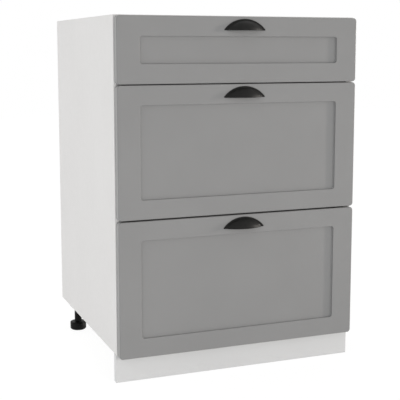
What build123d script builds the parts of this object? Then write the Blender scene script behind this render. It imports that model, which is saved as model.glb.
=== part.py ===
"""Kitchen base cabinet with three drawers: a white laminated carcass on four screw feet behind a
plinth, three milled shaker fronts with half-moon cup handles, and drawer boxes on roller runners.

Millimetres, +Z up. X runs along the width, the fronts face -Y, and the origin is on the floor under
the middle of the bounding box."""

import os
from math import sqrt

from build123d import *

os.makedirs("parts", exist_ok=True)

# ------------------------------------------------------------------ driving dimensions, millimetres
# Carcass of laminated chipboard
unit_width = 600.0
carcass_height = 768.0
carcass_depth = 545.0
carcass_board = 18.0
board_edge_rounding = 1.0
top_rail_width = 90.0
back_board = 3.0
back_inset = 18.0
back_groove_depth = 8.0
back_top_drop = 1.0
worktop_hole_radius = 2.5
worktop_hole_spacing = 400.0

# Cam and dowel joints of the carcass, and the cams that hold the drawer fronts
cam_radius = 7.5
cam_height = 12.5
cam_reach = 34.0
cam_bolt_radius = 3.0
cam_bolt_embed = 11.0
cam_neck_radius = 2.0
cam_cross_span = 8.0
cam_cross_slot = 1.5
cam_cross_depth = 2.0
dowel_radius = 4.0
dowel_length = 30.0
dowel_embed = 12.0
panel_cam_inset = 150.0
panel_dowel_step = 40.0
rail_cam_inset = 25.0

# Fronts of milled board
front_thickness = 18.0
front_side_reveal = 2.0
front_top_reveal = 2.0
upper_front_gap = 2.0
lower_front_gap = 3.0
front_standoff = 2.0
front_corner_radius = 8.0
front_edge_rounding = 2.5
stile_width = 53.0
front_rail_width = 44.5
recess_depth = 6.0
recess_corner_radius = 6.0
recess_rim_rounding = 1.0
recess_root_radius = 1.5

# The two upper fronts; the bottom front takes what is left, down to its overhang below the carcass
top_front_height = 150.0
middle_front_height = 301.0
front_overhang = 6.0

# Drawer boxes, and how far each stays below the top of its front
drawer_board = 16.0
drawer_length = 500.0
box_rise = 38.0
top_box_drop = 28.0
middle_box_drop = 78.0
bottom_box_drop = 94.0
base_board = 4.0
base_rise = 12.0
base_groove_depth = 6.0
drawer_back_inset = 10.0
back_housing_depth = 4.0
drawer_cam_low = 28.0
drawer_cam_drop = 20.0

# Cup handles
handle_width = 105.0
handle_height = 26.0
handle_projection = 20.0
handle_drop = 5.0
handle_offset = 6.0
handle_flange = 2.0
handle_rim = 3.0
handle_rim_rounding = 0.8
handle_tip_rounding = 1.6
handle_lip_rounding = 0.6
handle_wall = 2.0
dome_sink = 3.0
handle_post_radius = 3.5
handle_post_spacing = 64.0
handle_post_rise = 8.0

# Roller runners of folded steel, one pair to a drawer
runner_space = 12.5
runner_steel = 1.2
runner_bend = 1.0
runner_setback = 3.0
runner_overlap = 100.0
track_width = 10.6
track_lip = 1.8
track_cover = 9.0
track_headroom = 1.3
roller_radius = 11.0
roller_width = 6.0
roller_offset = 2.9
roller_rounding = 0.8
roller_bore_radius = 2.65
axle_radius = 2.5
axle_head_radius = 3.6
axle_head = 0.9
axle_inset = 12.0
ridge_radius = 2.5
flange_reach = 2.0
drawer_edge_rise = 4.0
shelf_flange = 12.0
system_pitch = 32.0
system_first = 37.0
runner_hole_steps = (0, 7, 13)
runner_screw_rise = 19.0

# Legs and plinth
leg_height = 68.0
front_leg_side_inset = 38.0
front_leg_inset = 60.0
rear_leg_side_inset = 22.0
rear_leg_inset = 92.0
foot_radius = 21.5
foot_height = 22.0
foot_bevel = 3.0
foot_top_fall = 1.5
leg_tube_radius = 9.5
leg_bore_radius = 5.3
spindle_radius = 5.0
spindle_length = 38.0
socket_plate = 4.0
socket_width = 38.0
socket_length = 60.0
socket_corner_radius = 6.0
socket_hole_across = 28.0
socket_hole_along = 44.0
plinth_board = 16.0
plinth_recess = 5.0
plinth_floor_gap = 1.0
plinth_top_gap = 1.0
clip_rise = 34.0
clip_height = 15.0
clip_wall = 2.5
clip_mouth = 15.0
clip_arm = 7.0
clip_plate = 3.0
clip_plate_width = 34.0
clip_plate_height = 30.0

# Small fasteners and pads
wood_screw_radius = 2.0
wood_screw_length = 14.0
wood_screw_head_radius = 3.0
wood_screw_head = 1.1
wood_screw_cross_span = 3.4
wood_screw_cross_slot = 0.8
wood_screw_cross_depth = 0.8
handle_screw_radius = 2.0
handle_screw_grip = 5.0
handle_screw_head_radius = 4.0
handle_screw_head = 2.4
handle_screw_cross_span = 4.4
handle_screw_cross_slot = 1.0
handle_screw_cross_depth = 1.5
buffer_radius = 4.0
buffer_drop = 30.0

# Clearances
running_gap = 0.3
fit_gap = 0.1
slide_gap = 0.2
depth_gap = 0.5
axle_play = 0.2

# ------------------------------------------------------------------------------- derived places
half_width = unit_width / 2
inner_half = half_width - carcass_board
total_depth = handle_projection + front_thickness + front_standoff + carcass_depth
front_face_y = handle_projection - total_depth / 2
front_back_y = front_face_y + front_thickness
carcass_front_y = front_back_y + front_standoff
carcass_back_y = carcass_front_y + carcass_depth
carcass_bottom_z = leg_height
carcass_top_z = carcass_bottom_z + carcass_height
floor_panel_top_z = carcass_bottom_z + carcass_board
top_rail_z = carcass_top_z - carcass_board
back_rear_y = carcass_back_y - back_inset
back_front_y = back_rear_y - back_board
rear_rail_y = back_front_y - top_rail_width
back_half = inner_half + back_groove_depth - depth_gap

box_half = inner_half - runner_space
box_inner_half = box_half - drawer_board
box_rear_y = front_back_y + drawer_length
drawer_back_rear_y = box_rear_y - drawer_back_inset
drawer_back_front_y = drawer_back_rear_y - drawer_board
drawer_travel = drawer_length - runner_overlap

flange_rise = 2 * roller_radius + 3 * running_gap
rear_axle_rise = roller_radius + running_gap
front_axle_rise = flange_rise - running_gap - roller_radius
track_height = flange_rise + runner_steel + track_headroom
front_axle_y = carcass_front_y + runner_setback + axle_inset
rear_axle_y = box_rear_y - axle_inset
runner_hole_y = [carcass_front_y + system_first + step * system_pitch for step in runner_hole_steps]

leg_places = {
    "front_left": (front_leg_side_inset - half_width, carcass_front_y + front_leg_inset),
    "front_right": (half_width - front_leg_side_inset, carcass_front_y + front_leg_inset),
    "rear_left": (rear_leg_side_inset - half_width, carcass_back_y - rear_leg_inset),
    "rear_right": (half_width - rear_leg_side_inset, carcass_back_y - rear_leg_inset),
}
socket_hole_offsets = [
    (across * socket_hole_across / 2, along * socket_hole_along / 2)
    for across in (-1, 1)
    for along in (-1, 1)
]
socket_hole_places = [(x + dx, y + dy) for x, y in leg_places.values() for dx, dy in socket_hole_offsets]

# Each carcass joint: the board's underside, the places of its cams and of its dowels along Y
panel_cams = (carcass_front_y + panel_cam_inset, carcass_back_y - panel_cam_inset)
panel_dowels = (panel_cams[0] + panel_dowel_step, panel_cams[1] - panel_dowel_step)
rail_dowel_inset = top_rail_width - rail_cam_inset
panel_joint = (carcass_bottom_z, panel_cams, panel_dowels)
front_rail_joint = (top_rail_z, (carcass_front_y + rail_cam_inset,), (carcass_front_y + rail_dowel_inset,))
rear_rail_joint = (top_rail_z, (rear_rail_y + rail_cam_inset,), (rear_rail_y + rail_dowel_inset,))
carcass_joints = (panel_joint, front_rail_joint, rear_rail_joint)


class Drawer:
    """The heights of one drawer, worked out from the top of the carcass down."""

    def __init__(self, name, top_z, height, box_drop):
        self.name = name
        self.top_z = top_z
        self.height = height
        self.bottom_z = top_z - height
        self.box_bottom_z = self.bottom_z + box_rise
        self.box_height = height - box_rise - box_drop
        self.box_top_z = self.box_bottom_z + self.box_height
        self.base_z = self.box_bottom_z + base_rise
        self.track_z = self.box_bottom_z - drawer_edge_rise
        self.handle_z = top_z - handle_drop - handle_height
        self.handle_screw_z = self.handle_z + handle_post_rise
        self.cam_z = (self.box_bottom_z + drawer_cam_low, self.box_top_z - drawer_cam_drop)
        self.buffer_z = top_z - buffer_drop


top_drawer = Drawer("top", carcass_top_z - front_top_reveal, top_front_height, top_box_drop)
middle_drawer = Drawer("middle", top_drawer.bottom_z - upper_front_gap, middle_front_height, middle_box_drop)
bottom_top_z = middle_drawer.bottom_z - lower_front_gap
bottom_front_height = bottom_top_z - carcass_bottom_z + front_overhang
bottom_drawer = Drawer("bottom", bottom_top_z, bottom_front_height, bottom_box_drop)
stack = (top_drawer, middle_drawer, bottom_drawer)


# ------------------------------------------------------------------------------------- helpers
def at_x(x):
    """The plane across X, with Y to its right and Z up."""
    return Plane.YZ.offset(x)


def at_y(y):
    """The plane across Y, with X to its right and Z up, facing the front."""
    return Plane.XZ.offset(-y)


def at_z(z):
    """The level plane at a height."""
    return Plane.XY.offset(z)


def slab(low, high):
    """Adds a board between two corners."""
    with BuildSketch(at_z(low[2])) as outline:
        with Locations(((low[0] + high[0]) / 2, (low[1] + high[1]) / 2)):
            Rectangle(high[0] - low[0], high[1] - low[1])
    extrude(outline.sketch, amount=high[2] - low[2])


def rods(plane, places, radius, length, mode=Mode.ADD):
    """Adds round rods that stand on a plane, or drills them out with Mode.SUBTRACT."""
    with BuildSketch(plane) as circles:
        with Locations(*places):
            Circle(radius)
    extrude(circles.sketch, amount=length, mode=mode)


def drill(plane, places, radius, depth):
    """Drills round holes from a plane."""
    rods(plane, places, radius, depth, Mode.SUBTRACT)


def cross_recess(plane, places, span, slot, depth):
    """Cuts a screwdriver's cross into round heads, from the plane of their crowns."""
    with BuildSketch(plane) as cross:
        with Locations(*places):
            Rectangle(span, slot)
            Rectangle(slot, span)
    extrude(cross.sketch, amount=depth, mode=Mode.SUBTRACT)


def cam_lock(plane, place):
    """Adds a cam disc that stands on the plane of its open face, with a cross in that face."""
    rods(plane, [place], cam_radius, cam_height)
    cross_recess(plane, [place], cam_cross_span, cam_cross_slot, cam_cross_depth)


def groove(plane, centre, size, depth):
    """Cuts a rectangular groove from a plane."""
    with BuildSketch(plane) as outline:
        with Locations(centre):
            Rectangle(*size)
    extrude(outline.sketch, amount=depth, mode=Mode.SUBTRACT)


def save(piece, name):
    """Labels a finished piece and writes it."""
    piece.part.label = name
    export_step(piece.part, f"parts/{name}.step")


# --------------------------------------------------------------------------------- carcass boards
def side_panel(name, side):
    """A side of the carcass: grooved for the back and drilled for its fittings."""
    inner_x = side * inner_half
    outer_x = side * half_width
    with BuildPart() as panel:
        slab(
            (min(inner_x, outer_x), carcass_front_y, carcass_bottom_z),
            (max(inner_x, outer_x), carcass_back_y, carcass_top_z),
        )
        fillet(panel.edges().filter_by(Axis.Z).group_by(Axis.Y)[0], radius=board_edge_rounding)
        back_middle_y = (back_front_y + back_rear_y) / 2
        groove(
            at_x(inner_x),
            (back_middle_y, (carcass_bottom_z + carcass_top_z) / 2),
            (back_board + slide_gap, carcass_height),
            side * back_groove_depth,
        )
        for underside_z, cam_places, dowel_places in carcass_joints:
            middle_z = underside_z + carcass_board / 2
            bolt_holes = [(y, middle_z) for y in cam_places]
            dowel_holes = [(y, middle_z) for y in dowel_places]
            drill(at_x(inner_x), bolt_holes, cam_bolt_radius + fit_gap, side * (cam_bolt_embed + depth_gap))
            drill(at_x(inner_x), dowel_holes, dowel_radius + fit_gap, side * (dowel_embed + depth_gap))
        for drawer in stack:
            runner_holes = [(y, drawer.track_z + runner_screw_rise) for y in runner_hole_y]
            pilot_depth = wood_screw_length - runner_steel + depth_gap
            drill(at_x(inner_x), runner_holes, wood_screw_radius + fit_gap, side * pilot_depth)
        edge_holes = [place for place in socket_hole_places if inner_half < side * place[0]]
        pilot_depth = wood_screw_length - socket_plate + depth_gap
        drill(at_z(carcass_bottom_z), edge_holes, wood_screw_radius + fit_gap, pilot_depth)
    save(panel, name)


def cross_board(name, front_y, rear_y, joint):
    """A board between the sides, with its cams let into the underside: the bottom or a top rail."""
    underside_z, cam_places, dowel_places = joint
    middle_z = underside_z + carcass_board / 2
    with BuildPart() as board:
        slab((-inner_half, front_y, underside_z), (inner_half, rear_y, underside_z + carcass_board))
        fillet(board.edges().filter_by(Axis.X).group_by(Axis.Y)[0], radius=board_edge_rounding)
        for side in (-1, 1):
            end = at_x(side * inner_half)
            bolt_bores = [(y, middle_z) for y in cam_places]
            dowel_holes = [(y, middle_z) for y in dowel_places]
            cam_pockets = [(side * (inner_half - cam_reach), y) for y in cam_places]
            drill(end, bolt_bores, cam_bolt_radius + fit_gap, -side * cam_reach)
            drill(end, dowel_holes, dowel_radius + fit_gap, -side * (dowel_length - dowel_embed + depth_gap))
            drill(at_z(underside_z), cam_pockets, cam_radius + fit_gap, cam_height)
        if underside_z == carcass_bottom_z:
            groove(
                at_z(floor_panel_top_z),
                (0, (back_front_y + back_rear_y) / 2),
                (2 * inner_half, back_board + slide_gap),
                -back_groove_depth,
            )
            leg_holes = [place for place in socket_hole_places if abs(place[0]) < inner_half]
            pilot_depth = wood_screw_length - socket_plate + depth_gap
            drill(at_z(underside_z), leg_holes, wood_screw_radius + fit_gap, pilot_depth)
        else:
            screw_holes = [(side * worktop_hole_spacing / 2, (front_y + rear_y) / 2) for side in (-1, 1)]
            drill(at_z(underside_z), screw_holes, worktop_hole_radius, carcass_board)
    save(board, name)


side_panel("left_side_panel", -1)
side_panel("right_side_panel", 1)
cross_board("bottom_panel", carcass_front_y, carcass_back_y, panel_joint)
cross_board("front_top_rail", carcass_front_y, carcass_front_y + top_rail_width, front_rail_joint)
cross_board("rear_top_rail", rear_rail_y, back_front_y, rear_rail_joint)

with BuildPart() as back_panel:
    back_foot_z = floor_panel_top_z - back_groove_depth + depth_gap
    slab((-back_half, back_front_y, back_foot_z), (back_half, back_rear_y, carcass_top_z - back_top_drop))
save(back_panel, "back_panel")


# ------------------------------------------------------------------------------ cams and dowels
with BuildPart() as cam_locks:
    for underside_z, cam_places, _ in carcass_joints:
        for side in (-1, 1):
            cam_x = side * (inner_half - cam_reach)
            for y in cam_places:
                cam_lock(at_z(underside_z), (cam_x, y))
                bolt_centre = (y, underside_z + carcass_board / 2)
                drill(at_x(cam_x), [bolt_centre], cam_bolt_radius + fit_gap, side * 2 * cam_radius)
save(cam_locks, "cam_locks")

with BuildPart() as cam_bolts:
    for underside_z, cam_places, _ in carcass_joints:
        for side in (-1, 1):
            places = [(y, underside_z + carcass_board / 2) for y in cam_places]
            collar_x = side * (inner_half - cam_reach + cam_radius)
            head_x = side * (inner_half - cam_reach)
            rods(at_x(side * inner_half), places, cam_bolt_radius, side * cam_bolt_embed)
            rods(at_x(side * inner_half), places, cam_bolt_radius, collar_x - side * inner_half)
            rods(at_x(collar_x), places, cam_neck_radius, head_x - collar_x)
            rods(at_x(head_x), places, cam_bolt_radius, side * 2 * cam_neck_radius)
save(cam_bolts, "cam_bolts")

with BuildPart() as dowels:
    for underside_z, _, dowel_places in carcass_joints:
        for side in (-1, 1):
            places = [(y, underside_z + carcass_board / 2) for y in dowel_places]
            rods(at_x(side * (inner_half + dowel_embed)), places, dowel_radius, -side * dowel_length)
save(dowels, "dowels")


# ---------------------------------------------------------------------------------- legs, plinth
def wood_screw(plane, places, head_direction):
    """Wood screws whose heads sit on a plane, on the side that head_direction points to."""
    rods(plane, places, wood_screw_radius, head_direction * -wood_screw_length)
    rods(plane, places, wood_screw_head_radius, head_direction * wood_screw_head)
    crown = plane.offset(head_direction * wood_screw_head)
    cross_depth = -head_direction * wood_screw_cross_depth
    cross_recess(crown, places, wood_screw_cross_span, wood_screw_cross_slot, cross_depth)


socket_plate_z = carcass_bottom_z - socket_plate
for place_name, (leg_x, leg_y) in leg_places.items():
    with BuildPart() as leg_socket:
        with BuildSketch(at_z(socket_plate_z)):
            with Locations((leg_x, leg_y)):
                RectangleRounded(socket_width, socket_length, socket_corner_radius)
        extrude(amount=socket_plate)
        tube_length = socket_plate_z - foot_height - running_gap
        rods(at_z(socket_plate_z), [(leg_x, leg_y)], leg_tube_radius, -tube_length)
        drill(at_z(carcass_bottom_z), [(leg_x, leg_y)], leg_bore_radius, -(tube_length + socket_plate))
        screw_holes = [(leg_x + dx, leg_y + dy) for dx, dy in socket_hole_offsets]
        drill(at_z(socket_plate_z), screw_holes, wood_screw_radius + fit_gap, socket_plate)
    save(leg_socket, f"leg_socket_{place_name}")

    with BuildPart() as foot:
        with BuildSketch(Plane((leg_x, leg_y, 0), x_dir=(1, 0, 0), z_dir=(0, -1, 0))):
            with BuildLine():
                Polyline(
                    (0, 0),
                    (foot_radius - foot_bevel, 0),
                    (foot_radius, foot_bevel),
                    (foot_radius, foot_height - foot_top_fall),
                    (leg_tube_radius, foot_height),
                    (spindle_radius, foot_height),
                    (spindle_radius, foot_height + spindle_length),
                    (0, foot_height + spindle_length),
                    close=True,
                )
            make_face()
        revolve(axis=Axis((leg_x, leg_y, 0), (0, 0, 1)))
    save(foot, f"foot_{place_name}")

with BuildPart() as leg_screws:
    wood_screw(at_z(socket_plate_z), socket_hole_places, -1)
save(leg_screws, "leg_socket_screws")

plinth_front_y = carcass_front_y + plinth_recess
plinth_rear_y = plinth_front_y + plinth_board
with BuildPart() as plinth:
    slab(
        (-half_width, plinth_front_y, plinth_floor_gap),
        (half_width, plinth_rear_y, carcass_bottom_z - plinth_top_gap),
    )
    fillet(plinth.edges().filter_by(Axis.X).group_by(Axis.Y)[0], radius=board_edge_rounding)
    plate_middle_z = clip_rise + clip_height / 2
    clip_half_width = half_width - front_leg_side_inset
    clip_screw_rise = (clip_plate_height - clip_height / 2) / 2
    clip_screw_places = [
        (side * clip_half_width, plate_middle_z + up * clip_screw_rise) for side in (-1, 1) for up in (-1, 1)
    ]
    clip_pilot_depth = plinth_board - clip_plate
    drill(at_y(plinth_rear_y), clip_screw_places, wood_screw_radius + fit_gap, clip_pilot_depth)
save(plinth, "plinth_board")

with BuildPart() as plinth_clips:
    for side in (-1, 1):
        clip_x = side * clip_half_width
        clip_y = carcass_front_y + front_leg_inset
        grip_radius = leg_tube_radius + slide_gap
        with BuildSketch(at_z(clip_rise)) as jaws:
            with Locations((clip_x, clip_y)):
                Circle(grip_radius + clip_wall)
            arm_end_y = clip_y - grip_radius
            with Locations((clip_x, (plinth_rear_y + arm_end_y) / 2)):
                Rectangle(clip_arm, arm_end_y - plinth_rear_y)
            with Locations((clip_x, clip_y)):
                Circle(grip_radius, mode=Mode.SUBTRACT)
            mouth_depth = grip_radius + clip_wall
            with Locations((clip_x, clip_y + mouth_depth)):
                Rectangle(clip_mouth, mouth_depth, mode=Mode.SUBTRACT)
        extrude(jaws.sketch, amount=clip_height)
        with BuildSketch(at_y(plinth_rear_y)) as plate:
            with Locations((clip_x, plate_middle_z)):
                RectangleRounded(clip_plate_width, clip_plate_height, clip_plate)
        extrude(plate.sketch, amount=-clip_plate)
    drill(at_y(plinth_rear_y), clip_screw_places, wood_screw_radius + fit_gap, -clip_plate)
save(plinth_clips, "plinth_clips")

with BuildPart() as clip_screws:
    wood_screw(at_y(plinth_rear_y + clip_plate), clip_screw_places, -1)
save(clip_screws, "plinth_clip_screws")

with BuildPart() as front_buffers:
    buffer_places = [
        (side * (half_width - carcass_board / 2), drawer.buffer_z) for drawer in stack for side in (-1, 1)
    ]
    rods(at_y(carcass_front_y), buffer_places, buffer_radius, front_standoff - running_gap)
save(front_buffers, "front_buffers")


# ------------------------------------------------------------------------------- roller runners
def track_fold(drawer):
    """The middle line of the channel screwed to the carcass, seen along the drawer's travel."""
    roof_z = drawer.track_z + track_height + runner_steel / 2
    floor_z = drawer.track_z - runner_steel / 2
    wall_x = inner_half - runner_steel / 2
    lip_x = inner_half - track_width + runner_steel / 2
    return [
        (inner_half - track_cover, roof_z),
        (wall_x, roof_z),
        (wall_x, floor_z),
        (lip_x, floor_z),
        (lip_x, drawer.track_z + track_lip),
    ]


def member_fold(drawer):
    """The middle line of the member under the drawer side, seen along the drawer's travel."""
    flange_z = drawer.track_z + flange_rise + runner_steel / 2
    shelf_z = drawer.box_bottom_z - runner_steel / 2
    web_x = box_half + runner_steel / 2
    return [
        (inner_half - flange_reach, flange_z),
        (web_x, flange_z),
        (web_x, shelf_z),
        (box_half - shelf_flange, shelf_z),
    ]


def folded_steel(fold, front_y, length):
    """Folds sheet steel along a middle line and runs the section towards the back of the cabinet."""
    with BuildSketch(at_y(front_y)) as section:
        with BuildLine():
            FilletPolyline(*fold, radius=runner_bend)
        trace(line_width=runner_steel)
    extrude(section.sketch, amount=-length)


def roller_pair(name, axle_y, axle_z):
    """The left and right rollers that turn about one line."""
    near_x = inner_half - roller_offset
    with BuildPart() as rollers:
        rods(at_x(near_x), [(axle_y, axle_z)], roller_radius, -roller_width)
        fillet(rollers.edges().filter_by(GeomType.CIRCLE), radius=roller_rounding)
        drill(at_x(near_x), [(axle_y, axle_z)], roller_bore_radius, -roller_width)
        mirror(about=Plane.YZ)
    save(rollers, name)


for drawer in stack:
    outer_face_x = inner_half - roller_offset + axle_play
    inner_face_x = inner_half - roller_offset - roller_width - axle_play
    front_axle_z = drawer.track_z + front_axle_rise
    rear_axle_z = drawer.track_z + rear_axle_rise

    with BuildPart() as cabinet_runners:
        folded_steel(track_fold(drawer), carcass_front_y + runner_setback, drawer_length)
        axle_spot = [(front_axle_y, front_axle_z)]
        wall_x = inner_half - runner_steel
        rods(at_x(wall_x), axle_spot, axle_head_radius, outer_face_x - wall_x)
        rods(at_x(wall_x), axle_spot, axle_radius, inner_face_x - wall_x)
        rods(at_x(inner_face_x), axle_spot, axle_head_radius, -axle_head)
        roller_reach = roller_radius + ridge_radius
        ridge_offset = sqrt(roller_reach**2 - rear_axle_rise**2)
        ridge_y = rear_axle_y - drawer_travel - ridge_offset - running_gap
        ridge_x = inner_half - track_width + runner_steel
        with BuildSketch(at_x(ridge_x)) as ridge:
            with Locations((ridge_y, drawer.track_z)):
                Circle(ridge_radius)
                Rectangle(2 * ridge_radius, ridge_radius, align=(Align.CENTER, Align.MAX), mode=Mode.SUBTRACT)
        extrude(ridge.sketch, amount=wall_x - ridge_x)
        screw_places = [(y, drawer.track_z + runner_screw_rise) for y in runner_hole_y]
        drill(at_x(inner_half), screw_places, wood_screw_radius + fit_gap, -runner_steel)
        mirror(about=Plane.YZ)
    save(cabinet_runners, f"{drawer.name}_cabinet_runners")
    roller_pair(f"{drawer.name}_front_rollers", front_axle_y, front_axle_z)

    shelf_screw_places = [(box_half - drawer_board / 2, y) for y in runner_hole_y]
    with BuildPart() as drawer_runners:
        folded_steel(member_fold(drawer), front_back_y, drawer_length)
        axle_spot = [(rear_axle_y, rear_axle_z)]
        web_x = box_half + runner_steel
        rods(at_x(web_x), axle_spot, axle_head_radius, inner_face_x - web_x)
        rods(at_x(web_x), axle_spot, axle_radius, outer_face_x - web_x)
        rods(at_x(outer_face_x), axle_spot, axle_head_radius, axle_head)
        drill(at_z(drawer.box_bottom_z), shelf_screw_places, wood_screw_radius + fit_gap, -runner_steel)
        mirror(about=Plane.YZ)
    save(drawer_runners, f"{drawer.name}_drawer_runners")
    roller_pair(f"{drawer.name}_rear_rollers", rear_axle_y, rear_axle_z)

with BuildPart() as runner_screws:
    for drawer in stack:
        screw_places = [(y, drawer.track_z + runner_screw_rise) for y in runner_hole_y]
        wood_screw(at_x(inner_half - runner_steel), screw_places, -1)
    mirror(about=Plane.YZ)
save(runner_screws, "runner_screws")


# -------------------------------------------------------------------------------- drawer fronts
def drawer_front(drawer):
    """A milled front: rounded outside, a sunk panel with round corners, bored behind for its fittings."""
    front_width = unit_width - 2 * front_side_reveal
    middle_z = (drawer.bottom_z + drawer.top_z) / 2
    with BuildPart() as front:
        with BuildSketch(at_y(front_back_y)):
            with Locations((0, middle_z)):
                RectangleRounded(front_width, drawer.height, front_corner_radius)
        extrude(amount=front_thickness)
        fillet(front.faces().sort_by(Axis.Y)[0].edges(), radius=front_edge_rounding)
        with BuildSketch(at_y(front_face_y)):
            with Locations((0, middle_z)):
                RectangleRounded(
                    front_width - 2 * stile_width,
                    drawer.height - 2 * front_rail_width,
                    recess_corner_radius,
                )
        extrude(amount=-recess_depth, mode=Mode.SUBTRACT)
        fillet(front.faces().sort_by(Axis.Y)[0].inner_wires()[0].edges(), radius=recess_rim_rounding)
        recess_floor = front.faces().filter_by(Axis.Y).group_by(Axis.Y)[1]
        fillet(recess_floor.edges(), radius=recess_root_radius)
        groove(
            at_y(front_back_y),
            (0, drawer.base_z + base_board / 2),
            (2 * box_inner_half, base_board + slide_gap),
            base_groove_depth,
        )
        bolt_x = box_half - drawer_board / 2
        bolt_holes = [(side * bolt_x, z) for side in (-1, 1) for z in drawer.cam_z]
        drill(at_y(front_back_y), bolt_holes, cam_bolt_radius + fit_gap, cam_bolt_embed + depth_gap)
        screw_holes = [
            (handle_offset + side * handle_post_spacing / 2, drawer.handle_screw_z) for side in (-1, 1)
        ]
        drill(at_y(front_back_y), screw_holes, handle_screw_radius + fit_gap, front_thickness)
    save(front, f"{drawer.name}_drawer_front")


# -------------------------------------------------------------------------------- cup handles
def half_moon(rise, half_chord, inset):
    """The sketch face between a chord and the arc over it, drawn in from the arc by an inset."""
    radius = (half_chord**2 + rise**2) / (2 * rise)
    centre_y = rise - radius
    inner_radius = radius - inset
    inner_half_chord = sqrt(inner_radius**2 - centre_y**2)
    with BuildLine() as outline:
        ThreePointArc((-inner_half_chord, 0), (0, rise - inset), (inner_half_chord, 0))
        Line((inner_half_chord, 0), (-inner_half_chord, 0))
    make_face(outline.edges())


def handle_dome(drawer, inset):
    """The quarter-round body of a cup handle, less an inset: a half-moon swung down about its chord."""
    chord_centre = (handle_offset, front_face_y + dome_sink, drawer.handle_z)
    with BuildPart() as dome:
        with BuildSketch(Plane(chord_centre, x_dir=(1, 0, 0), z_dir=(0, -1, 0))) as moon:
            half_moon(handle_projection + dome_sink, handle_width / 2 - handle_rim, inset)
        revolve(moon.sketch, axis=Axis(chord_centre, (1, 0, 0)), revolution_arc=90)
    return dome.part


def cup_handle(drawer):
    """A half-moon cup: a rim on the front, a hollow dome open below, and two posts for its screws."""
    face = Plane((handle_offset, front_face_y, drawer.handle_z), x_dir=(1, 0, 0), z_dir=(0, -1, 0))
    outer_dome = handle_dome(drawer, 0)
    inner_dome = handle_dome(drawer, handle_wall)
    posts = [(side * handle_post_spacing / 2, handle_post_rise) for side in (-1, 1)]
    with BuildPart() as handle_posts:
        rods(face, posts, handle_post_radius, handle_projection)
        add(outer_dome, mode=Mode.INTERSECT)
    with BuildPart() as handle:
        with BuildSketch(face) as rim:
            half_moon(handle_height, handle_width / 2, 0)
            fillet(rim.vertices(), radius=handle_tip_rounding)
        extrude(rim.sketch, amount=handle_flange)
        rim_front = handle.faces().sort_by(Axis.Y)[0]
        fillet(rim_front.edges().filter_by(GeomType.CIRCLE), radius=handle_rim_rounding)
        add(outer_dome)
        add(inner_dome, mode=Mode.SUBTRACT)
        add(handle_posts.part)
        split(bisect_by=face, keep=Keep.TOP)
        lip_face = handle.faces().filter_by(Axis.Z).sort_by(Axis.Z)[0]
        fillet(lip_face.edges().filter_by(GeomType.CIRCLE), radius=handle_lip_rounding)
        drill(face, posts, handle_screw_radius + fit_gap, handle_screw_grip + depth_gap)
    save(handle, f"{drawer.name}_handle")

    with BuildPart() as handle_screws:
        screw_places = [(handle_offset + x, drawer.handle_screw_z) for x, _ in posts]
        rods(at_y(front_back_y), screw_places, handle_screw_radius, front_thickness + handle_screw_grip)
        rods(at_y(front_back_y), screw_places, handle_screw_head_radius, -handle_screw_head)
        crown = at_y(front_back_y + handle_screw_head)
        cross = (handle_screw_cross_span, handle_screw_cross_slot, handle_screw_cross_depth)
        cross_recess(crown, screw_places, *cross)
    save(handle_screws, f"{drawer.name}_handle_screws")


# -------------------------------------------------------------------------------- drawer boxes
def drawer_side(drawer, name, side):
    """A side of a drawer box: grooved for the base, housed for the back and bored for its cams."""
    outer_x = side * box_half
    inner_x = side * box_inner_half
    cam_y = front_back_y + cam_reach
    with BuildPart() as board:
        slab(
            (min(inner_x, outer_x), front_back_y, drawer.box_bottom_z),
            (max(inner_x, outer_x), box_rear_y, drawer.box_top_z),
        )
        fillet(board.edges().filter_by(Axis.Y), radius=board_edge_rounding)
        groove(
            at_x(inner_x),
            ((front_back_y + box_rear_y) / 2, drawer.base_z + base_board / 2),
            (drawer_length, base_board + slide_gap),
            side * base_groove_depth,
        )
        groove(
            at_x(inner_x),
            ((drawer_back_front_y + drawer_back_rear_y) / 2, (drawer.base_z + drawer.box_top_z) / 2),
            (drawer_board + slide_gap, drawer.box_top_z - drawer.base_z),
            side * back_housing_depth,
        )
        middle_x = side * (box_half - drawer_board / 2)
        drill(at_x(inner_x), [(cam_y, z) for z in drawer.cam_z], cam_radius + fit_gap, side * cam_height)
        bolt_bores = [(middle_x, z) for z in drawer.cam_z]
        drill(at_y(front_back_y), bolt_bores, cam_bolt_radius + fit_gap, -cam_reach)
        shelf_holes = [(middle_x, y) for y in runner_hole_y]
        pilot_depth = wood_screw_length - runner_steel + depth_gap
        drill(at_z(drawer.box_bottom_z), shelf_holes, wood_screw_radius + fit_gap, pilot_depth)
    save(board, name)


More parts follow.
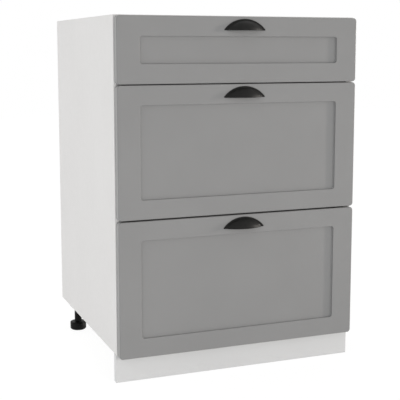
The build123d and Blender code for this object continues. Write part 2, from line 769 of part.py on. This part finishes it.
def drawer_box(drawer):
    """The boards of one drawer box and the fixings in them."""
    drawer_side(drawer, f"{drawer.name}_drawer_left_side", -1)
    drawer_side(drawer, f"{drawer.name}_drawer_right_side", 1)

    back_half_width = box_inner_half + back_housing_depth - fit_gap
    base_top_z = drawer.base_z + base_board
    with BuildPart() as back:
        slab(
            (-back_half_width, drawer_back_front_y, base_top_z),
            (back_half_width, drawer_back_rear_y, drawer.box_top_z - board_edge_rounding),
        )
    save(back, f"{drawer.name}_drawer_back")

    base_half_width = box_inner_half + base_groove_depth - depth_gap
    with BuildPart() as base:
        with BuildSketch(at_z(drawer.base_z)):
            tongue_front_y = front_back_y - base_groove_depth + depth_gap
            with Locations((0, (front_back_y + drawer_back_rear_y) / 2)):
                Rectangle(2 * base_half_width, drawer_back_rear_y - front_back_y)
            with Locations((0, (tongue_front_y + front_back_y) / 2)):
                Rectangle(2 * (box_inner_half - fit_gap), front_back_y - tongue_front_y)
        extrude(amount=base_board)
    save(base, f"{drawer.name}_drawer_base")

    middle_x = box_half - drawer_board / 2
    cam_y = front_back_y + cam_reach
    with BuildPart() as fixings:
        bolt_places = [(middle_x, z) for z in drawer.cam_z]
        for z in drawer.cam_z:
            cam_lock(at_x(box_inner_half), (cam_y, z))
        drill(at_y(cam_y), bolt_places, cam_bolt_radius + fit_gap, 2 * cam_radius)
        shank_length = cam_bolt_embed + cam_reach - cam_radius
        rods(at_y(cam_y - cam_radius), bolt_places, cam_bolt_radius, shank_length)
        rods(at_y(cam_y), bolt_places, cam_neck_radius, cam_radius)
        rods(at_y(cam_y), bolt_places, cam_bolt_radius, 2 * cam_neck_radius)
        wood_screw(at_z(drawer.box_bottom_z - runner_steel), [(middle_x, y) for y in runner_hole_y], -1)
        mirror(about=Plane.YZ)
    save(fixings, f"{drawer.name}_drawer_fixings")


for drawer in stack:
    drawer_front(drawer)
    cup_handle(drawer)
    drawer_box(drawer)
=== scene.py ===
from math import cos, pi, radians, sin

import bpy
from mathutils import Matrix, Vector


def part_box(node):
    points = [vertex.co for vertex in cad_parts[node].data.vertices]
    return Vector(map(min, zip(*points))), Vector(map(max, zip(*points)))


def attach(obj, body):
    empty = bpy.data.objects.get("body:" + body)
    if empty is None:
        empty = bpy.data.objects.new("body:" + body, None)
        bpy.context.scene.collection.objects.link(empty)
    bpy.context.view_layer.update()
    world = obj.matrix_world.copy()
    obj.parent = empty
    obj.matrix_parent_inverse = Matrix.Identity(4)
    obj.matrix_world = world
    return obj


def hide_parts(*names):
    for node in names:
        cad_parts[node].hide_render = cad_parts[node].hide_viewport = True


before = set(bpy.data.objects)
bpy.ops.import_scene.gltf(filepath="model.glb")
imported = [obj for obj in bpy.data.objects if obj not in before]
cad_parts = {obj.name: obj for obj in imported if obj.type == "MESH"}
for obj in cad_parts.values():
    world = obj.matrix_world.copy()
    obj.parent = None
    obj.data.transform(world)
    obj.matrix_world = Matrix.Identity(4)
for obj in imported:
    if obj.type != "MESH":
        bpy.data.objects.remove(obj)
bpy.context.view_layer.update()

drawers = ("top", "middle", "bottom")
feet = ("front_left", "front_right", "rear_left", "rear_right")
low_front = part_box("bottom_drawer_front")[0]
front_foot = Vector((0, low_front.y, low_front.z))

# ------------------------------------------------------------------ the photograph and its camera
photo_px = 400
focal_px = 927.4
sensor_mm = 36
camera_yaw = radians(21.34)
camera_pitch = radians(7.55)
camera_shift = -0.07
# The camera's place from the middle of the lowest front's bottom edge, in metres
camera_offset = Vector((-0.866, -1.951, 0.699))

# ------------------------------------------------------------------------------ studio and light
# The sky's strength at the horizon and overhead, and its factors at the left and the right
sky_low, sky_high = 1.02, 0.62
sky_left, sky_right = 1.44, 0.56
# The floor's side in metres, its tone, and the shade and glow that the camera sees there
floor_size = 16
floor_tone = 0.92
floor_shade = 0.13
floor_glow = 0.93
# The key lamp's azimuth off the fronts' plane on the right, height over the horizon, and spread
key_azimuth = radians(15.5)
key_height = radians(3)
key_spread = radians(5)
key_power = 1.5
key_colour = (1, 0.93, 0.86)
warm = (1, 0.96, 0.92)
# Each panel lamp's name, place, width, height, power and colour
panel_lamps = (
    ("low", (-0.9, -1.9, 0.12), 1.6, 0.22, 5.5, (1, 0.995, 0.985)),
    ("left", (-2.4, 0.3, 0.6), 1.2, 1.1, 5, warm),
    ("right", (1.0, -1.9, 0.35), 0.8, 0.5, 4.8, warm),
)

# ----------------------------------------------------------------------------------------- tones
# The tones of each finish, from shaded to bright; wood has a third for its flecks
laminate_tones = (0.715, 0.71, 0.705), (0.735, 0.73, 0.725), (0.76, 0.755, 0.75)
# The plinth's darker, cooler copy of the white laminate is painted shade for the lesser light on
# its front face
plinth_shaded_tones = (0.65, 0.657, 0.663), (0.67, 0.677, 0.683), (0.695, 0.702, 0.708)
front_tones = (0.244, 0.245, 0.246), (0.254, 0.255, 0.256), (0.267, 0.268, 0.269)
handle_tones = (0.006, 0.006, 0.0055), (0.010, 0.0095, 0.009)
plastic_tones = (0.004, 0.004, 0.004), (0.008, 0.008, 0.0078)
steel_tones = (0.70, 0.70, 0.69), (0.76, 0.76, 0.75)
nylon_tones = (0.66, 0.65, 0.60), (0.74, 0.735, 0.69)
zinc_tones = (0.50, 0.51, 0.52), (0.66, 0.665, 0.67)
pad_tones = (0.80, 0.80, 0.77), (0.88, 0.88, 0.86)
chipboard_tones = (0.30, 0.19, 0.105), (0.62, 0.47, 0.31), (0.47, 0.34, 0.21)
hardboard_tones = (0.25, 0.155, 0.09), (0.40, 0.275, 0.17), (0.36, 0.25, 0.155)
beech_tones = (0.50, 0.33, 0.19), (0.68, 0.50, 0.32), (0.30, 0.18, 0.10)

# ------------------------------------------------------------------------------------------ feet
spindle_radius = 0.005
leg_radius = 0.0095
thread_pitch = 0.002
thread_depth = 0.0006
thread_flank = 2.4
thread_samples = 8
tip_height = 0.001
foot_segments = 72
sharp_angle = radians(40)
# The foot's outline below its spindle, as heights and distances inside its rim
foot_outline = (
    (0.0, 0.0032),
    (0.0004, 0.0026),
    (0.0026, 0.0004),
    (0.0032, 0),
    (0.0050, 0),
    (0.0051, 0.0005),
    (0.0057, 0.0005),
    (0.0058, 0),
    (0.0195, 0),
    (0.0202, 0.0003),
    (0.0206, 0.0010),
)
# The hollow round the spindle, as heights and radii
foot_hollow = (
    (0.0216, leg_radius + 0.0030),
    (0.0212, leg_radius + 0.0022),
    (0.0212, spindle_radius + 0.0008),
    (0.0214, spindle_radius),
)


def linked(name, data):
    """A new object in the scene."""
    made = bpy.data.objects.new(name, data)
    bpy.context.scene.collection.objects.link(made)
    return made


def aim(made, direction):
    """Turns a camera or lamp so that it looks along a direction."""
    made.rotation_mode = "QUATERNION"
    made.rotation_quaternion = direction.to_track_quat("-Z", "Y")


# ------------------------------------------------------------------------- camera, lamps and floor
def make_camera():
    """The photograph's camera, which looks to the right and a little down."""
    data = bpy.data.cameras.new("camera")
    data.sensor_width = sensor_mm
    data.lens = sensor_mm * focal_px / photo_px
    data.shift_y = camera_shift
    camera = linked("camera", data)
    camera.location = front_foot + camera_offset
    level = cos(camera_pitch)
    aim(camera, Vector((sin(camera_yaw) * level, cos(camera_yaw) * level, -sin(camera_pitch))))
    bpy.context.scene.camera = camera


def make_key_lamp():
    """A low, distant lamp on the right, which shades the recesses' right-hand walls."""
    data = bpy.data.lights.new("key", "SUN")
    data.energy = key_power
    data.angle = key_spread
    data.color = key_colour
    level = cos(key_height)
    source = Vector((cos(key_azimuth) * level, -sin(key_azimuth) * level, sin(key_height)))
    aim(linked("key", data), -source)


def make_panel_lamp(name, place, width, height, power, colour):
    """A soft lamp that shines level towards the cabinet's middle."""
    data = bpy.data.lights.new(name, "AREA")
    data.shape = "RECTANGLE"
    data.size = width
    data.size_y = height
    data.energy = power
    data.color = colour
    lamp = linked(name, data)
    lamp.location = place
    aim(lamp, Vector((-place[0], front_foot.y - place[1], 0)))
    lamp.visible_camera = False
    lamp.visible_glossy = False


def white_rays(nodes, links):
    """A socket that is 1 for camera, glossy and transmission rays."""
    path = nodes.new("ShaderNodeLightPath")
    first = nodes.new("ShaderNodeMath")
    first.operation = "MAXIMUM"
    second = nodes.new("ShaderNodeMath")
    second.operation = "MAXIMUM"
    links.new(path.outputs["Is Camera Ray"], first.inputs[0])
    links.new(path.outputs["Is Glossy Ray"], first.inputs[1])
    links.new(first.outputs["Value"], second.inputs[0])
    links.new(path.outputs["Is Transmission Ray"], second.inputs[1])
    return second.outputs["Value"]


def make_world():
    """A sky dimmer overhead and to the right; the camera, mirrors and glass see plain white."""
    world = bpy.data.worlds.new("sky")
    bpy.context.scene.world = world
    world.use_nodes = True
    nodes, links = world.node_tree.nodes, world.node_tree.links
    nodes.clear()
    sky = nodes.new("ShaderNodeBackground")
    places = nodes.new("ShaderNodeTexCoord")
    split = nodes.new("ShaderNodeSeparateXYZ")
    links.new(places.outputs["Generated"], split.inputs["Vector"])
    strength = nodes.new("ShaderNodeMath")
    strength.operation = "MULTIPLY"
    ramps = (("Z", 0, sky_low, sky_high), ("X", -1, sky_left, sky_right))
    for number, (axis, lowest, first, last) in enumerate(ramps):
        ramp = nodes.new("ShaderNodeMapRange")
        for name, value in (("From Min", lowest), ("To Min", first), ("To Max", last)):
            ramp.inputs[name].default_value = value
        links.new(split.outputs[axis], ramp.inputs["Value"])
        links.new(ramp.outputs["Result"], strength.inputs[number])
    links.new(strength.outputs["Value"], sky.inputs["Strength"])
    seen = nodes.new("ShaderNodeBackground")
    seen.inputs["Color"].default_value = (1, 1, 1, 1)
    mix = nodes.new("ShaderNodeMixShader")
    out = nodes.new("ShaderNodeOutputWorld")
    links.new(white_rays(nodes, links), mix.inputs["Fac"])
    links.new(sky.outputs["Background"], mix.inputs[1])
    links.new(seen.outputs["Background"], mix.inputs[2])
    links.new(mix.outputs["Shader"], out.inputs["Surface"])


def make_floor():
    """A plain pale floor that shows white and keeps a faint shadow."""
    mesh = bpy.data.meshes.new("floor")
    half = floor_size / 2
    corners = [(-half, -half, 0), (half, -half, 0), (half, half, 0), (-half, half, 0)]
    mesh.from_pydata(corners, [], [(0, 1, 2, 3)])
    floor = linked("floor", mesh)
    material = bpy.data.materials.new("floor")
    material.use_nodes = True
    nodes, links = material.node_tree.nodes, material.node_tree.links
    nodes.clear()
    plain = nodes.new("ShaderNodeBsdfDiffuse")
    plain.inputs["Color"].default_value = (floor_tone, floor_tone, floor_tone, 1)
    faint = nodes.new("ShaderNodeBsdfDiffuse")
    faint.inputs["Color"].default_value = (floor_shade, floor_shade, floor_shade, 1)
    glow = nodes.new("ShaderNodeEmission")
    glow.inputs["Strength"].default_value = floor_glow
    shown = nodes.new("ShaderNodeAddShader")
    mix = nodes.new("ShaderNodeMixShader")
    out = nodes.new("ShaderNodeOutputMaterial")
    links.new(faint.outputs["BSDF"], shown.inputs[0])
    links.new(glow.outputs["Emission"], shown.inputs[1])
    links.new(white_rays(nodes, links), mix.inputs["Fac"])
    links.new(plain.outputs["BSDF"], mix.inputs[1])
    links.new(shown.outputs["Shader"], mix.inputs[2])
    links.new(mix.outputs["Shader"], out.inputs["Surface"])
    mesh.materials.append(material)


# ------------------------------------------------------------------------------------- materials
class Look:
    """The node tree of one material, on a principled shader in the object's own coordinates."""

    def __init__(self, slot, variant=""):
        self.material = bpy.data.materials[slot]
        if variant:
            self.material = self.material.copy()
            self.material.name = f"{slot}_{variant}"
        self.material.use_nodes = True
        self.tree = self.material.node_tree
        self.tree.nodes.clear()
        self.shader = self.node("ShaderNodeBsdfPrincipled")
        out = self.node("ShaderNodeOutputMaterial")
        self.tree.links.new(self.shader.outputs["BSDF"], out.inputs["Surface"])
        places = self.node("ShaderNodeTexCoord")
        self.place = places.outputs["Object"]
        self.facing = places.outputs["Normal"]

    def node(self, kind, **settings):
        made = self.tree.nodes.new(kind)
        for name, value in settings.items():
            setattr(made, name, value)
        return made

    def feed(self, target, value):
        """Links a socket to a target socket, or sets the target to a plain value."""
        if isinstance(value, bpy.types.NodeSocket):
            self.tree.links.new(value, target)
        else:
            target.default_value = value

    def stretched(self, scale):
        """The place, stretched along the axes."""
        mapping = self.node("ShaderNodeMapping")
        self.feed(mapping.inputs["Vector"], self.place)
        mapping.inputs["Scale"].default_value = scale
        return mapping.outputs["Vector"]

    def noise(self, scale, detail=2, place=None):
        """A noise from 0 to 1 whose grains are about 1/scale metres across."""
        texture = self.node("ShaderNodeTexNoise")
        self.feed(texture.inputs["Vector"], place or self.place)
        texture.inputs["Scale"].default_value = scale
        texture.inputs["Detail"].default_value = detail
        return texture.outputs["Fac"]

    def cells(self, scale, place):
        """A number from 0 to 1 for each of the random cells about 1/scale metres across."""
        texture = self.node("ShaderNodeTexVoronoi")
        self.feed(texture.inputs["Vector"], place)
        texture.inputs["Scale"].default_value = scale
        split = self.node("ShaderNodeSeparateColor")
        self.feed(split.inputs["Color"], texture.outputs["Color"])
        return split.outputs["Red"]

    def remap(self, value, low, high, to_low, to_high):
        """A socket's range mapped onto another, clamped."""
        mapped = self.node("ShaderNodeMapRange")
        self.feed(mapped.inputs["Value"], value)
        names = ("From Min", "From Max", "To Min", "To Max")
        for name, number in zip(names, (low, high, to_low, to_high)):
            mapped.inputs[name].default_value = number
        return mapped.outputs["Result"]

    def spread(self, value, to_low=0, to_high=1):
        """The middle range of a noise, mapped onto another range."""
        return self.remap(value, 0.3, 0.7, to_low, to_high)

    def math(self, operation, first, second):
        made = self.node("ShaderNodeMath", operation=operation)
        self.feed(made.inputs[0], first)
        self.feed(made.inputs[1], second)
        return made.outputs["Value"]

    def axis(self, vector, name):
        split = self.node("ShaderNodeSeparateXYZ")
        self.feed(split.inputs["Vector"], vector)
        return split.outputs[name]

    def raw_side(self):
        """1 on the faces towards the rear and the floor, which are left raw, and 0 elsewhere."""
        back = self.axis(self.facing, "Y")
        down = self.math("MULTIPLY", self.axis(self.facing, "Z"), -1.0)
        return self.math("GREATER_THAN", self.math("MAXIMUM", back, down), 0.5)

    def mixed(self, share, first, second):
        """A blend of two colours, each a socket or three numbers."""
        mix = self.node("ShaderNodeMix", data_type="RGBA")
        self.feed(mix.inputs["Factor"], share)
        for name, colour in (("A", first), ("B", second)):
            socket = next(i for i in mix.inputs if i.name == name and i.type == "RGBA")
            plain = not isinstance(colour, bpy.types.NodeSocket)
            self.feed(socket, (*colour, 1) if plain else colour)
        return next(o for o in mix.outputs if o.type == "RGBA")

    def blend(self, share, first, second):
        """A blend of two numbers, each a socket or a number."""
        mix = self.node("ShaderNodeMix", data_type="FLOAT")
        self.feed(mix.inputs["Factor"], share)
        self.feed(mix.inputs["A"], first)
        self.feed(mix.inputs["B"], second)
        return mix.outputs["Result"]

    def colour(self, value):
        self.feed(self.shader.inputs["Base Color"], value)

    def roughness(self, value):
        self.feed(self.shader.inputs["Roughness"], value)

    def bump(self, height, depth):
        """Raises the surface by a height from 0 to 1 times a depth in metres."""
        bump = self.node("ShaderNodeBump")
        bump.inputs["Distance"].default_value = depth
        bump.inputs["Strength"].default_value = 1.0
        self.feed(bump.inputs["Height"], height)
        self.feed(self.shader.inputs["Normal"], bump.outputs["Normal"])


def laminate_colour(look, shade, tone, bright):
    """White melamine with a fine pearl grain and the slightest clouding."""
    cloud = look.remap(look.noise(5, 3), 0.35, 0.65, 0, 1)
    pearl = look.remap(look.noise(2200, 1), 0.4, 0.6, 0, 1)
    pale = look.mixed(cloud, shade, tone)
    return look.mixed(look.math("MULTIPLY", pearl, 0.35), pale, bright)


def laminate_roughness(look):
    return look.spread(look.noise(60, 3), 0.34, 0.44)


def white_laminate(variant, *tones):
    look = Look("white_laminate", variant)
    look.colour(laminate_colour(look, *tones))
    look.roughness(laminate_roughness(look))
    look.bump(look.noise(1300, 2), 0.00003)
    return look.material


def chipboard_colour(look):
    """Raw chipboard: pale and dark flakes pressed along the board, with a few darker specks."""
    dark, pale, speck = chipboard_tones
    flakes = look.cells(330, look.stretched((1, 0.45, 0.45)))
    fine = look.noise(900, 3)
    wood = look.mixed(flakes, dark, pale)
    return look.mixed(look.remap(fine, 0.42, 0.62, 0, 0.55), wood, speck)


def cut_laminate():
    """A laminated board whose rear and lower edges are left raw."""
    look = Look("white_laminate", "cut")
    raw = look.raw_side()
    look.colour(look.mixed(raw, laminate_colour(look, *laminate_tones), chipboard_colour(look)))
    look.roughness(look.blend(raw, laminate_roughness(look), 0.85))
    grain = look.blend(raw, look.math("MULTIPLY", look.noise(1300, 2), 0.1), look.noise(700, 4))
    look.bump(grain, 0.0004)
    return look.material


def grey_front():
    """Matt grey foil over milled board, with a fine eggshell grain."""
    shade, tone, bright = front_tones
    look = Look("grey_front")
    cloud = look.remap(look.noise(7, 3), 0.35, 0.65, 0, 1)
    speck = look.remap(look.noise(1700, 2), 0.35, 0.65, 0, 1)
    paint = look.mixed(cloud, shade, tone)
    look.colour(look.mixed(look.math("MULTIPLY", speck, 0.3), paint, bright))
    look.roughness(look.spread(look.noise(45, 4), 0.29, 0.36))
    look.bump(look.noise(1500, 3), 0.00004)


def white_board():
    """Hardboard lacquered white on its show side and left raw on its rear or underside."""
    dark, pale, patch = hardboard_tones
    look = Look("white_board")
    raw = look.raw_side()
    fibre = look.noise(700, 5, look.stretched((1, 1, 0.6)))
    cloud = look.spread(look.noise(9, 4))
    brown = look.mixed(look.spread(fibre), dark, pale)
    brown = look.mixed(look.math("MULTIPLY", cloud, 0.3), brown, patch)
    white = look.mixed(cloud, *laminate_tones[:2])
    look.colour(look.mixed(raw, white, brown))
    look.roughness(look.blend(raw, look.spread(fibre, 0.36, 0.46), 0.75))
    look.bump(look.blend(raw, look.math("MULTIPLY", look.noise(1100, 2), 0.15), fibre), 0.0002)


def beech():
    """Fluted beech with its short dark flecks along the grain."""
    dark, pale, fleck_tone = beech_tones
    look = Look("beech")
    grain = look.noise(420, 5, look.stretched((0.12, 1, 1)))
    fleck = look.noise(1500, 1, look.stretched((0.25, 1, 1)))
    wood = look.mixed(look.spread(grain), dark, pale)
    look.colour(look.mixed(look.remap(fleck, 0.6, 0.75, 0, 0.7), wood, fleck_tone))
    look.roughness(look.spread(grain, 0.5, 0.7))
    look.bump(grain, 0.0001)


def even_finish(slot, tones, cloud, rough, grain, sockets):
    """A finish clouded between two tones, with an uneven sheen and a fine grain.

    Cloud, rough and grain start with a noise's scale and detail. Rough goes on with the lowest and
    highest roughness, and grain with its depth in metres. Sockets are the shader's plain values.
    """
    look = Look(slot)
    look.colour(look.mixed(look.spread(look.noise(*cloud)), *tones))
    for name, value in sockets.items():
        look.shader.inputs[name].default_value = value
    look.roughness(look.spread(look.noise(*rough[:2]), *rough[2:]))
    look.bump(look.noise(*grain[:2]), grain[2])


def make_even_finishes():
    """Powder coat, moulded plastic, painted steel, nylon, zinc plate and soft pads."""
    even_finish(
        "black_handle",
        handle_tones,
        cloud=(90, 3),
        rough=(300, 3, 0.42, 0.54),
        grain=(900, 2, 0.00006),
        sockets={"Specular IOR Level": 0.2},
    )
    even_finish(
        "black_plastic",
        plastic_tones,
        cloud=(120, 4),
        rough=(500, 3, 0.36, 0.5),
        grain=(1800, 3, 0.00006),
        sockets={"Specular IOR Level": 0.1},
    )
    even_finish(
        "white_steel",
        steel_tones,
        cloud=(40, 3),
        rough=(260, 3, 0.29, 0.38),
        grain=(700, 2, 0.00008),
        sockets={},
    )
    even_finish(
        "nylon",
        nylon_tones,
        cloud=(200, 3),
        rough=(420, 3, 0.34, 0.5),
        grain=(1200, 2, 0.00004),
        sockets={"Subsurface Weight": 0.15, "Subsurface Radius": (0.002, 0.002, 0.0018)},
    )
    even_finish(
        "zinc",
        zinc_tones,
        cloud=(350, 4),
        rough=(800, 3, 0.29, 0.44),
        grain=(2200, 2, 0.00003),
        sockets={"Metallic": 1.0},
    )
    even_finish(
        "clear_pad",
        pad_tones,
        cloud=(300, 2),
        rough=(600, 2, 0.15, 0.3),
        grain=(900, 2, 0.00005),
        sockets={"Transmission Weight": 0.6},
    )


def dress():
    """Gives every carried-over CAD node its finished material."""
    # The plinth gets a darker, cooler copy of the white laminate: painted shade, not a different
    # board
    plinth = white_laminate("plinth", *plinth_shaded_tones)
    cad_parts["plinth_board"].data.materials[0] = plinth
    white_laminate("", *laminate_tones)
    grey_front()
    white_board()
    beech()
    make_even_finishes()
    cut = cut_laminate()
    sides = ["left_side_panel", "right_side_panel"]
    for drawer in drawers:
        sides += [f"{drawer}_drawer_left_side", f"{drawer}_drawer_right_side"]
    for name in sides:
        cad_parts[name].data.materials[0] = cut


# ------------------------------------------------------------------------------------ turned feet
def turned_mesh(name, rings, segments):
    """A closed mesh of revolution; each ring is a height and a function from angle to radius."""
    verts, faces = [], []
    for height, radius_at in rings:
        for step in range(segments):
            angle = 2 * pi * step / segments
            radius = radius_at(angle)
            verts.append((radius * cos(angle), radius * sin(angle), height))
    for ring in range(len(rings) - 1):
        for step in range(segments):
            after = (step + 1) % segments
            low, high = ring * segments, (ring + 1) * segments
            faces.append((low + step, low + after, high + after, high + step))
    faces.append(tuple(reversed(range(segments))))
    faces.append(tuple(range(len(verts) - segments, len(verts))))
    mesh = bpy.data.meshes.new(name)
    mesh.from_pydata(verts, [], faces)
    mesh.shade_smooth()
    mesh.set_sharp_from_angle(angle=sharp_angle)
    return mesh


def round_ring(radius):
    """The same radius at every angle."""
    return lambda angle: radius


def thread_ring(height):
    """The radius round a screw thread at one height."""

    def radius_at(angle):
        turn = (height / thread_pitch - angle / (2 * pi)) % 1
        crest = min(1, thread_flank * abs(2 * turn - 1))
        return spindle_radius - thread_depth * (1 - crest)

    return radius_at


def screw_foot(place):
    """A moulded foot with a pad groove and rounded rims, and its threaded spindle."""
    name = f"foot_{place}"
    low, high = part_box(name)
    foot_radius = (high.x - low.x) / 2
    top = high.z - low.z
    rings = [(height, round_ring(foot_radius - inset)) for height, inset in foot_outline]
    rings += [(height, round_ring(radius)) for height, radius in foot_hollow]
    neck = foot_hollow[-1][0]
    steps = round((top - neck) / thread_pitch * thread_samples)
    for step in range(1, steps):
        height = neck + (top - neck - tip_height) * step / steps
        rings.append((height, thread_ring(height)))
    rings.append((top - tip_height, round_ring(spindle_radius - thread_depth)))
    rings.append((top, round_ring(spindle_radius - 2 * thread_depth)))
    mesh = turned_mesh(name, rings, foot_segments)
    mesh.materials.append(bpy.data.materials["black_plastic"])
    piece = linked(f"turned_{name}", mesh)
    piece.location = ((low.x + high.x) / 2, (low.y + high.y) / 2, low.z)
    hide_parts(name)
    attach(piece, name)


dress()
for place in feet:
    screw_foot(place)

make_camera()
make_world()
make_floor()
make_key_lamp()
for lamp in panel_lamps:
    make_panel_lamp(*lamp)

bpy.context.scene.view_settings.view_transform = "Standard"
